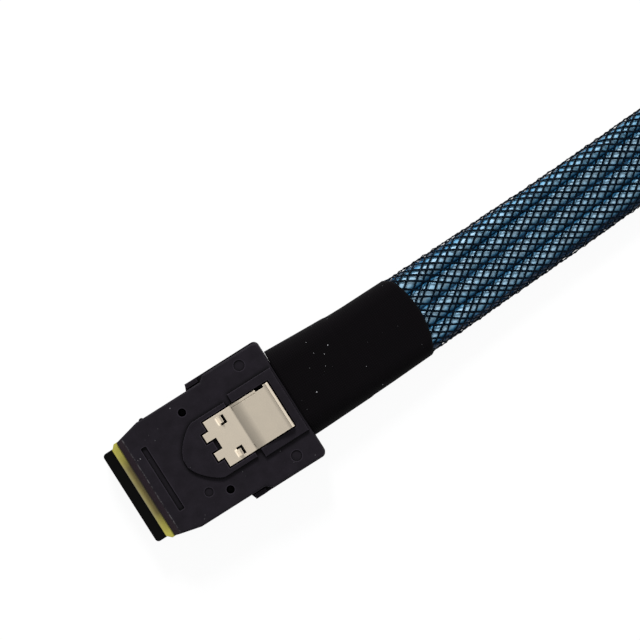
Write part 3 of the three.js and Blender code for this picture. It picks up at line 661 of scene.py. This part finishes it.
CABLE_START = 1.0
CABLE_STEP = 1.6
LEG_STEP = 2.2
RIDGE_PITCH = LEG_WIDTH / 2
RIDGE_RISE = 1.2
WEB_RISE = 0.18
WEB_SHOULDER = 0.1
BUNDLE_RADIUS = 1.3
CABLE_ROOM = 7.3
BUNDLE_STRAIGHT = (4 * CABLE_ROOM - 2 * math.pi * BUNDLE_RADIUS) / 4
BUNDLE_SHIFT = -0.05
END_RISE = 1.08

# How long before the sleeve's end the cables begin to line up as legs, and are lined up
UNBUNDLE = (80.0, 14.0)

# Width of the sleeve against the solid's, by distance from the plug
SWELL = ((0, 1.05), (29, 1.045), (60, 1.0), (86, 0.98), (130, 1.0), (340, 1.0))

# The bundle turns slowly inside the sleeve: distance from the plug and how far it has moved
DRIFT = ((0, 3.4), (31, 3.6), (41, 3.75), (51, 4.1), (61, 4.5), (90, 4.7), (190, 2.3),
         (265, 0))


def cable_outline():
    """Distance across and rise of the points round a flat cable with two cores."""
    steps = 8
    angles = np.linspace(math.pi, 0, steps + 1)
    lobes = [(np.cos(angles) + shift) * RIDGE_PITCH / 2 for shift in (-1, 1)]
    across = np.concatenate((lobes[0], lobes[1][1:]))
    rise = RIDGE_RISE * np.concatenate((np.sin(angles), np.sin(angles)[1:]))
    beside = [steps - 1, steps + 1]
    rise[steps] = WEB_RISE
    rise[beside] = np.maximum(rise[beside], WEB_RISE + WEB_SHOULDER)
    return np.concatenate((across, across[-2:0:-1])), np.concatenate((rise, -rise[-2:0:-1]))


def drift_at(distance):
    drift = np.interp(distance, *np.array(DRIFT).T)
    kernel = np.hanning(13) / np.hanning(13).sum()
    return np.convolve(np.pad(drift, 6, mode="edge"), kernel, mode="valid")


def flat_cable(leg):
    across, rise = cable_outline()
    upper = LEG_FANS_FROM[leg] < 0
    turn = 1 if upper else -1
    stacked_side = LEG_STACKS[leg] * (LEG_WIDTH + LEG_STACK_GAP) / 2
    stacked_rise = -LEG_FANS_FROM[leg] * (LEG_THICKNESS + LEG_STACK_GAP)
    middle = LEG_STACKS[leg] * CABLE_ROOM / 2
    if not upper:
        middle = 2 * CABLE_ROOM - middle
    distance = np.arange(CABLE_START, trunk.length, CABLE_STEP)
    around = middle + drift_at(distance)[:, None] + across[None, :] * CABLE_ROOM / LEG_WIDTH
    a, b, out, up = stadium(around, BUNDLE_STRAIGHT, BUNDLE_RADIUS)
    # The outer cables fill the sleeve's rounded sides
    full = np.where(rise > 0, np.maximum(rise, END_RISE * out**2), rise)
    swell = np.interp(distance, *np.array(SWELL).T)[:, None]
    a = (a + out * full + BUNDLE_SHIFT) * swell
    b = b + up * full
    straight = smooth(distance, *(trunk.length - before for before in UNBUNDLE))[:, None]
    a = mix(a, stacked_side + turn * across[None, :], straight)
    b = mix(b, stacked_rise + turn * rise[None, :], straight)
    rings = trunk.place(np.repeat(distance[:, None], len(across), 1), a, b)
    route = legs[leg]
    run = np.linspace(0, route.length + 0.2, int(route.length / LEG_STEP))
    run = np.repeat(run[:, None], len(across), 1)
    rings = np.vstack((rings, route.place(run, turn * across, turn * rise)))
    centres = rings.mean(axis=1)
    steps = np.linalg.norm(np.diff(centres, axis=0), axis=1)
    along = np.concatenate(([0], np.cumsum(steps)))
    # Painted shade on the sides of the bundle, most of all on the side away from the light
    crest = np.tile(np.abs(rise) / RIDGE_RISE * CREST_SPAN, (len(rings), 1))
    side_shade = smooth(out, 0.1, 0.9) * 0.5 + smooth(-out, 0.25, 0.85) * 0.95
    crest[:len(out)] *= 1 - side_shade * (1 - straight)
    uv = np.stack(np.broadcast_arrays(along[:, None], crest), -1)
    faces = ring_faces(len(rings), len(across))
    obj = add_object(f"flat_cable_{leg + 1}", rings, faces, JACKET, uv)
    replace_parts(obj, f"leg_cable_{leg + 1}")
    return obj, centres * MM


# Contacts of the drive plugs, on the strips of the insulators

GRIP_LENGTH = 12.5
INSULATOR_LENGTH = 9.2
SLOT_DEPTH = 6.5
KEY_WIDTH = 1.3
KEY_HEIGHT = 2.7
CONTACT_COUNT = 7
CONTACT_PITCH = 1.27
CONTACT_WIDTH = 0.7
CONTACT_LENGTH = 5.5
CONTACT_HEIGHT = 0.2
CONTACT_INSET = 0.04
GOLD_THICKNESS = 0.05


def contact_strip(x0, x1, y0, y1, z, thickness):
    """A thin spring strip with a curled tip, as rings of four points."""
    xs = np.array((x0, x0 + 0.4, mix(x0, x1, 0.5), x1 - 0.7, x1 - 0.25, x1))
    lift = np.array((0, 0.02, 0.05, 0.08, 0.05, -0.03))
    rings = []
    for x, rise in zip(xs, lift):
        top = z + rise + thickness
        rings.append(((x, y0, z - 0.02), (x, y1, z - 0.02), (x, y1, top), (x, y0, top)))
    return np.array(rings)


def drive_contacts(leg):
    route = legs[leg]
    end, _, _ = route.frames(route.length)
    heading = math.atan2(*route.tangents[-1][[1, 0]])
    forward = np.array((math.cos(heading), math.sin(heading), 0))
    through = np.array((math.sin(heading), -math.cos(heading), 0))
    start = end + 1.5 * FIT * forward
    start[2] = GRIP_Z
    front = GRIP_LENGTH + FIT + INSULATOR_LENGTH
    back = front - SLOT_DEPTH
    points, faces = [], []
    half = CONTACT_WIDTH / 2 - CONTACT_INSET
    for i in range(CONTACT_COUNT):
        y = (i - (CONTACT_COUNT - 1) / 2) * CONTACT_PITCH - KEY_WIDTH / 2
        strip = contact_strip(back + 0.02, back + CONTACT_LENGTH - 0.05, y - half, y + half,
                              -KEY_HEIGHT / 2 + CONTACT_HEIGHT, GOLD_THICKNESS)
        faces.append(ring_faces(len(strip), 4, start=4 * len(strip) * i))
        points.append(strip.reshape(-1, 3))
    local = np.vstack(points)
    world = start + local[:, :1] * forward + local[:, 1:2] * UP + local[:, 2:] * through
    obj = add_object(f"drive_contacts_{leg + 1}", world, np.vstack(faces), GOLD)
    return obj


# Gold pads of the paddle card, on both its faces

PAD_COUNT = 18
PAD_PITCH = 0.8
PAD_WIDTH = 0.5
PAD_LENGTH = 4.2
PAD_FRONT = 0.9 + 0.7
PAD_LIFT = 0.605
PAD_CORNER = 0.1
CARD_Z = 3.7


def card_pads():
    """A hair above the card's raised fingers."""
    x0 = -REAR_X + PAD_FRONT + 0.04
    x1 = -REAR_X + PAD_FRONT + PAD_LENGTH - 0.04
    points, faces = [], []
    for side in (-1, 1):
        z = CARD_Z + side * PAD_LIFT
        for i in range(PAD_COUNT):
            y = (i - (PAD_COUNT - 1) / 2) * PAD_PITCH
            start = 8 * len(faces)
            y0, y1 = y - PAD_WIDTH / 2 + 0.03, y + PAD_WIDTH / 2 - 0.03
            cut = PAD_CORNER
            points += [(x0, y0 + cut, z), (x0 + cut, y0, z), (x1 - cut, y0, z), (x1, y0 + cut, z),
                       (x1, y1 - cut, z), (x1 - cut, y1, z), (x0 + cut, y1, z), (x0, y1 - cut, z)]
            order = range(start, start + 8)
            faces.append(list(order) if side > 0 else list(order)[::-1])
    obj = add_object("card_pads", points, faces, GOLD, smooth_shade=False)
    return obj


for leg in range(4):
    cable, centres = flat_cable(leg)
    contacts = drive_contacts(leg)
    number = leg + 1
card_pads()


# Open braid over the cables

STRANDS = 24
ADVANCE = 54.5
STRAND_WIDTH = 0.435
STRAND_RISE = 0.11
WEAVE_LIFT = 0.1
BRAID_START = 2.0
FLOOR_GAP = 0.02

# Each strand strays along the girth: how far, and over what length it comes and goes
STRAY = ((0.1, 7.0), (0.07, 3.1))
BUNCHING_NEAR = 0.17
BUNCHING_FAR = 0.04
BUNCHING_WAVE = 4.3
BUNCHED_TO = (30, 56)


def braid():
    step = ADVANCE / (2 * STRANDS)
    stations = np.arange(int(BRAID_START / step), int(trunk.length / step))
    distance = stations * step
    swell = np.interp(distance, *np.array(SWELL).T)
    bunching = BUNCHING_NEAR * (1 - smooth(distance, *BUNCHED_TO)) + BUNCHING_FAR
    half_straight = HALF_WIDE - HALF_THIN
    girth = 4 * half_straight + 2 * math.pi * HALF_THIN
    points, faces = [], []
    for turn in (1, -1):
        for strand in range(STRANDS):
            phase = random.uniform(0, 2 * math.pi, 4)
            stray = sum(reach * np.sin(distance / wave + start)
                        for (reach, wave), start in zip(STRAY, phase))
            stray = stray + bunching * np.sin(distance / BUNCHING_WAVE + phase[3])
            around = girth * (strand / STRANDS + turn * distance / ADVANCE) + stray
            a, b, out, up = stadium(around, half_straight, HALF_THIN)
            lift = turn * WEAVE_LIFT * np.where(stations % 2 == 0, 1, -1)
            lift = lift + 0.05 * np.sin(distance / 5.0 + phase[2])
            centre = trunk.place(distance, (a + out * lift) * swell, b + up * lift)
            outward = unit(trunk.place(distance, a + out, b + up) - trunk.place(distance, a, b))
            along = unit(np.gradient(centre, axis=0))
            across = unit(np.cross(outward, along))
            half = across * STRAND_WIDTH / 2
            rise = outward * STRAND_RISE
            rings = np.stack((centre + half, centre + rise, centre - half, centre - rise), 1)
            rings[..., 2] = np.maximum(rings[..., 2], FLOOR_GAP)
            faces.append(ring_faces(len(rings), 4, start=sum(len(p) for p in points)))
            points.append(rings.reshape(-1, 3))
    obj = add_object("braided_sleeve", np.vstack(points), np.vstack(faces), STRAND)
    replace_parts(obj, "trunk_sleeve")
    return obj, trunk.place(distance, distance * 0, distance * 0) * MM


# Cloth tape behind the plug, by distance from the plug

TAPE_START = -0.32
TAPE_END = 29.7
TAPE_END_BOW = 2.0
TAPE_STEP = 13.2
TAPE_STEP_RISE = 0.1
TAPE_WALL = 1.05
TAPE_END_WALLS = (0.9, 0.45)
TAPE_THICKNESS = 0.32
TAPE_TUCK = 0.22
TAPE_GIRTH = 46.0

# Wrinkles in the tape: length of the wave and height
WRINKLES = ((5.5, 0.05), (9.0, 0.07), (3.4, 0.03), (14.0, 0.08), (2.1, 0.015))


def tape():
    sides, rows, inner_rows = 144, 60, 6
    round_share = np.arange(sides) / sides
    phases = random.uniform(0, 2 * math.pi, (3, 5))

    def surface(share, cover):
        narrowed = 1 - (1 - share) ** 1.5
        wide = mix(HALF_WIDE + WRAP_FIT + TAPE_WALL, HALF_WIDE + TAPE_END_WALLS[0], narrowed)
        thin = mix(HALF_THIN + WRAP_FIT + TAPE_WALL, HALF_THIN + TAPE_END_WALLS[1], narrowed)
        half_straight = wide - thin
        girth = 4 * half_straight + 2 * math.pi * thin
        a, b, out, up = stadium(round_share * girth, half_straight, thin)
        end = TAPE_END - TAPE_END_BOW * ((a - 0.6) / wide) ** 2 - 0.6 * smooth(a, wide - 1.3, wide)
        distance = mix(TAPE_START, end, share)
        step = smooth(distance, TAPE_STEP - 0.25, TAPE_STEP + 0.05)
        lift = TAPE_STEP_RISE * (1 - step) - TAPE_STEP_RISE / 2
        for along, around, (wave, height) in zip(phases[0], phases[1], WRINKLES):
            lift = lift + height * np.sin(distance / wave + along) * np.sin(
                4 * math.pi * round_share + a / wave + around)
        edge = smooth(distance, end - 0.5, end)
        lift = lift - TAPE_TUCK * edge * edge - cover
        place = trunk.place(distance, a + out * lift, b + up * lift)
        uv = np.stack((distance, round_share * TAPE_GIRTH), -1)
        return place, uv

    outer = [surface(i / rows, 0.0) for i in range(rows + 1)]
    inner = [surface(i / inner_rows, TAPE_THICKNESS) for i in range(inner_rows, -1, -1)]
    rings = np.stack([place for place, _ in outer + inner])
    uv = np.stack([uv for _, uv in outer + inner])
    faces = ring_faces(len(rings), sides, closed_path=True)
    obj = add_object("cloth_tape", rings, faces, TAPE, uv)
    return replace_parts(obj, "tape_wrap")


# Shrunk band where the legs leave the sleeve

BAND_LOOSE = 0.3
BAND_PINCH = (-0.55, -0.2)
BAND_LIP = 0.22
BAND_LIP_SHARE = 0.05
BAND_RIPPLE = 0.04


def band():
    sides, rows, inner_rows = 96, 36, 8
    round_share = np.arange(sides) / sides

    def surface(share, wall):
        distance = trunk.length + mix(-BAND_LENGTH / 2, BAND_LENGTH / 2, share)
        pinch = smooth(share, 0.52, 0.95)
        wide = mix(HALF_WIDE + BAND_LOOSE, HALF_WIDE + BAND_PINCH[0], pinch) + wall
        thin = mix(HALF_THIN + BAND_LOOSE, HALF_THIN + BAND_PINCH[1], pinch) + wall
        a, b, out, up = stadium(
            round_share * (4 * (wide - thin) + 2 * math.pi * thin), wide - thin, thin)
        lip = sum(math.exp(-((end / BAND_LIP_SHARE) ** 2)) for end in (share, 1 - share))
        ripple = BAND_RIPPLE * np.sin(9 * share + 12 * math.pi * round_share)
        lift = (ripple - BAND_LIP * lip) * (wall > 0)
        return trunk.place(np.full(sides, distance), a + out * lift, b + up * lift)

    rings = [surface(i / rows, BAND_WALL) for i in range(rows + 1)]
    rings += [surface(i / inner_rows, 0.0) for i in range(inner_rows, -1, -1)]
    faces = ring_faces(len(rings), sides, closed_path=True)
    obj = add_object("breakout_tube", np.stack(rings), faces, BAND)
    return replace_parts(obj, "breakout_band")


sleeve, sleeve_path = braid()
tape_piece = tape()
band_piece = band()


# Hook-and-loop strap round the trunk and the legs beside it

STRAP_INNER_LIFT = 0.2
STRAP_EDGE_DROP = 0.3
STRAP_POINT_STEP = 0.7


def tangent_angle(a, b):
    """Angle of the outward direction where a line touches two circles of (y, z, radius)."""
    run = math.hypot(b[0] - a[0], b[1] - a[1])
    return math.atan2(b[1] - a[1], b[0] - a[0]) - math.acos((a[2] - b[2]) / run)


def wound_outline(circles, steps=14):
    """Points and outward directions of a line wound round circles of (y, z, radius)."""
    places, outward = [], []
    for i, circle in enumerate(circles):
        start = tangent_angle(circles[i - 1], circle)
        end = tangent_angle(circle, circles[(i + 1) % len(circles)])
        while end < start:
            end += 2 * math.pi
        for angle in np.linspace(start, end, steps):
            direction = np.array((math.cos(angle), math.sin(angle)))
            places.append(np.array(circle[:2]) + direction * circle[2])
            outward.append(direction)
    return np.array(places), np.array(outward)


def strap():
    trunk_z = resting_height(math.pi / 2) + TIE_LIFT
    reach = HALF_WIDE - HALF_THIN
    leg_y = LOOP_Y - CLOSE_OFFSET + LEG_ORDER[3] * LEG_TIED_SPACING
    leg_z = LEG_REST_Z + TIE_LIFT
    leg_radius = LEG_THICKNESS / 2
    leg_reach = LEG_WIDTH / 2 - leg_radius
    circles = (
        (LOOP_Y, trunk_z - reach, HALF_THIN),
        (LOOP_Y, trunk_z + reach, HALF_THIN),
        (leg_y, leg_z + leg_reach, leg_radius),
        (leg_y, leg_z - leg_reach, leg_radius),
    )
    places, outward = wound_outline(circles)
    # Points along the straight runs, so that the cloth can ripple a little
    joined, facing = [], []
    for i, place in enumerate(places):
        joined.append(place)
        facing.append(outward[i])
        after = places[(i + 1) % len(places)]
        parts = int(np.linalg.norm(after - place) / STRAP_POINT_STEP)
        for part in range(1, parts):
            joined.append(mix(place, after, part / parts))
            facing.append(outward[i])
    joined, facing = np.array(joined), np.array(facing)
    x = LOOP_X - CLOSING_STRAIGHT / 2
    half = STRAP_WIDTH / 2
    run = np.linalg.norm(np.diff(joined, axis=0, append=joined[:1]), axis=1)
    run = np.concatenate(([0], np.cumsum(run)[:-1]))
    outline = []
    for share in np.linspace(-1, 1, 15):
        outline.append((share * half, WRAP_FIT + STRAP_THICKNESS - STRAP_EDGE_DROP * share**8))
    for share in np.linspace(1, -1, 9):
        outline.append((share * (half - 0.1), WRAP_FIT + STRAP_INNER_LIFT))
    outline = np.array(outline)
    rings, uv = [], []
    for place, direction, along in zip(joined, facing, run):
        wave = 0.05 * math.sin(along / 1.7) + 0.04 * math.sin(along / 0.9 + 1)
        ring = []
        for offset, lift in outline:
            y, z = place + direction * (lift + wave * (lift > 1))
            ring.append((x + offset, y, max(z, FLOOR_GAP)))
        rings.append(ring)
        uv.append([(along, offset) for offset, _ in outline])
    faces = ring_faces(len(rings), len(outline), closed_path=True)
    obj = add_object("cable_strap", rings, faces, STRAP, uv)
    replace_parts(obj, "closing_strap")
    return obj


strap()


# Floor, light and background, in metres

FLOOR_HALF = 2.5
FLOOR_GLOW = 0.93
ROOM_STRENGTH = 0.5
AIM = (0.03, 0.0, 0.0)


def floor():
    """White card. It glows a little to the camera alone, so that it stays white under shadow."""
    mesh = bpy.data.meshes.new("floor")
    half = FLOOR_HALF
    mesh.from_pydata([(-half, -half, 0), (half, -half, 0), (half, half, 0), (-half, half, 0)],
                     [], [(0, 1, 2, 3)])
    shade = Shade("floor_card", (0.93, 0.93, 0.93), 0.8, specular=0.1)
    glow = shade.add("Emission", {"Color": (1, 1, 1, 1), "Strength": 1.0})
    camera_ray = shade.add("LightPath").outputs["Is Camera Ray"]
    seen = shade.maths("MULTIPLY", camera_ray, FLOOR_GLOW)
    mixed = shade.add("MixShader", {0: seen, 1: shade.shader.outputs[0], 2: glow.outputs[0]})
    shade.tree.links.new(mixed.outputs[0], shade.tree.nodes["Material Output"].inputs[0])
    mesh.materials.append(shade.material)
    obj = bpy.data.objects.new("floor", mesh)
    bpy.context.collection.objects.link(obj)


def area_light(name, place, size, power):
    data = bpy.data.lights.new(name, "AREA")
    data.shape = "DISK"
    data.size = size
    data.energy = power
    obj = bpy.data.objects.new(name, data)
    direction = np.array(AIM) - np.array(place, float)
    obj.location = place
    obj.rotation_euler = (
        math.atan2(math.hypot(direction[0], direction[1]), -direction[2]),
        0,
        math.atan2(direction[0], -direction[1]) + math.pi,
    )
    bpy.context.collection.objects.link(obj)


def background():
    """White where it is seen or reflected, a dimmer white room as light."""
    world = bpy.data.worlds.new("studio")
    bpy.context.scene.world = world
    world.use_nodes = True
    tree = world.node_tree
    tree.nodes.clear()
    rays = tree.nodes.new("ShaderNodeLightPath")
    seen = tree.nodes.new("ShaderNodeBackground")
    seen.inputs["Color"].default_value = (1, 1, 1, 1)
    room = tree.nodes.new("ShaderNodeBackground")
    room.inputs["Color"].default_value = (0.96, 0.98, 1, 1)
    room.inputs["Strength"].default_value = ROOM_STRENGTH
    direct = rays.outputs["Is Camera Ray"]
    for kind in ("Is Glossy Ray", "Is Transmission Ray"):
        either = tree.nodes.new("ShaderNodeMath")
        either.operation = "MAXIMUM"
        tree.links.new(direct, either.inputs[0])
        tree.links.new(rays.outputs[kind], either.inputs[1])
        direct = either.outputs[0]
    blend = tree.nodes.new("ShaderNodeMixShader")
    out = tree.nodes.new("ShaderNodeOutputWorld")
    tree.links.new(direct, blend.inputs[0])
    tree.links.new(room.outputs[0], blend.inputs[1])
    tree.links.new(seen.outputs[0], blend.inputs[2])
    tree.links.new(blend.outputs[0], out.inputs[0])


floor()
area_light("key", (0.3, 0.8, 0.62), 0.3, 15)
area_light("fill", (0.55, -0.35, 0.8), 0.9, 2.5)
background()
bpy.context.scene.view_settings.view_transform = "Standard"
